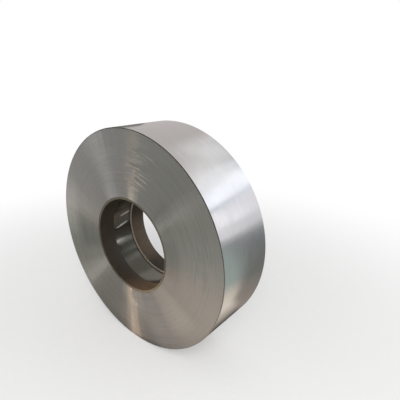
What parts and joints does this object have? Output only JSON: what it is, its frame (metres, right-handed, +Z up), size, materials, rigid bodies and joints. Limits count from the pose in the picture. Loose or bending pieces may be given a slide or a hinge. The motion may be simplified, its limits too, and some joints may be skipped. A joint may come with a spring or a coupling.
{
  "type": "aluminium strip coil",
  "caption": "Wide-bored coil of slit aluminium strip wound on paper core rings, standing on its tread as raw stock for a decoiler.",
  "frame": {"origin": "on the floor, under the middle of the coil", "axes": "+Z up, the winding axis along Y, and the front end of the coil faces -Y"},
  "size_m": [1.1995, 0.34, 1.1998],
  "materials": {
    "mill_finish_aluminium": "satin",
    "kraft_paper_core": "matte"
  },
  "bodies": {
    "root": {"strip_coil": "mill_finish_aluminium", "core_ring_front": "kraft_paper_core", "core_ring_rear": "kraft_paper_core"}
  },
  "joints": []
}
